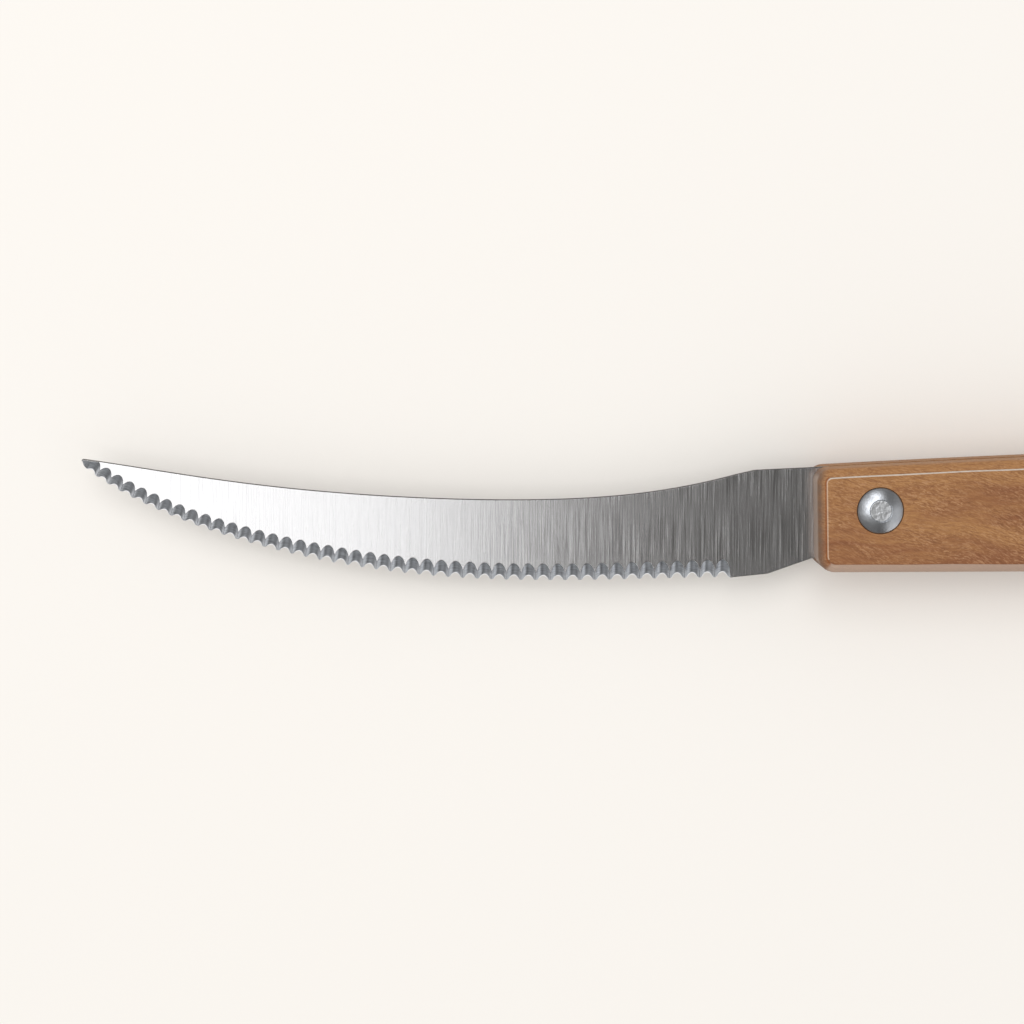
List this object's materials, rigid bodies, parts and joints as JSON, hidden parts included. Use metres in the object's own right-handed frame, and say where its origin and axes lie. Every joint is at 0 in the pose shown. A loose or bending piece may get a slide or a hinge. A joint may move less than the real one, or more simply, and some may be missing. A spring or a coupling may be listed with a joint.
{
  "type": "tomato knife",
  "caption": "Curved serrated steel blade with a hidden tang, riveted into a slotted wooden handle, for slicing soft fruit.",
  "frame": {"origin": "under the middle of the knife's box, on the surface that the lower rivet heads stand on", "axes": "+X along the knife from the tip to the butt, +Y from the teeth to the spine, +Z across the knife, out of the face that the teeth are ground from"},
  "size_m": [0.228, 0.0222, 0.0148],
  "materials": {
    "blade_steel": "stainless steel, ground across the blade",
    "handle_wood": "fine-grained warm brown hardwood, oiled",
    "rivet_aluminium": "bright pressed domes with a rough peened centre"
  },
  "bodies": {
    "root": {"blade": "blade_steel", "handle": "handle_wood", "front_rivet_pin": "rivet_aluminium", "front_rivet_washer_upper": "rivet_aluminium", "front_rivet_washer_lower": "rivet_aluminium", "rear_rivet_pin": "rivet_aluminium", "rear_rivet_washer_upper": "rivet_aluminium", "rear_rivet_washer_lower": "rivet_aluminium"}
  },
  "joints": []
}
